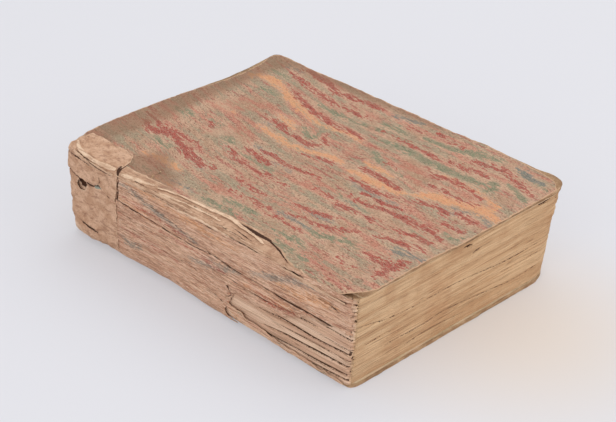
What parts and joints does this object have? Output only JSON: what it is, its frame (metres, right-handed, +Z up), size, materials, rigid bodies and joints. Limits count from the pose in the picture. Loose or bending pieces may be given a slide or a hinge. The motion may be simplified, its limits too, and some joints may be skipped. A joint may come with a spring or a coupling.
{
  "type": "antique book",
  "caption": "Worn antique book in marbled paper over thin pasteboards, with sewn gatherings, a patched and torn spine, and two covers that open.",
  "frame": {"origin": "under the middle of the closed book, on the surface that it lies on", "axes": "+X from the spine to the fore-edge, +Y from the tail to the head, +Z up through the thickness to the front cover"},
  "size_m": [0.161, 0.222, 0.0549],
  "materials": {
    "leaves": "matt rag paper, toned brown at the cut edges",
    "endpaper": "matt laid paper, toned and spotted",
    "marbled_paper": "matt marbled paper, rubbed, in tan, red, orange and grey-green",
    "patch_paper": "matt plain tan paper, creased and rubbed",
    "pasteboard": "layered pasteboard, frayed at its edges",
    "cord": "twisted hemp cord and linen thread"
  },
  "bodies": {
    "text_block": {"text_block": "leaves", "front_flyleaf": "endpaper", "back_flyleaf": "endpaper", "spine_cover": "marbled_paper", "spine_patch": "patch_paper", "sewing_cord_1": "cord", "sewing_cord_2": "cord", "sewing_cord_3": "cord", "kettle_stitch_head": "cord", "kettle_stitch_tail": "cord"},
    "front_cover": {"front_board": "pasteboard", "front_slips": "cord", "front_pastedown": "endpaper", "front_cover_paper": "marbled_paper", "front_patch": "patch_paper"},
    "back_cover": {"back_cover_paper": "marbled_paper", "back_board": "pasteboard", "back_slips": "cord", "back_pastedown": "endpaper"}
  },
  "joints": [
    {"name": "front_cover_hinge", "type": "hinge", "parent": "text_block", "child": "front_cover", "pos_m": [-0.0755, 0, 0.0549], "axis": [0, -1, 0], "range_deg": [0, 175]},
    {"name": "back_cover_hinge", "type": "hinge", "parent": "text_block", "child": "back_cover", "pos_m": [-0.0745, 0, 0], "axis": [0, 1, 0], "range_deg": [0, 183]}
  ]
}
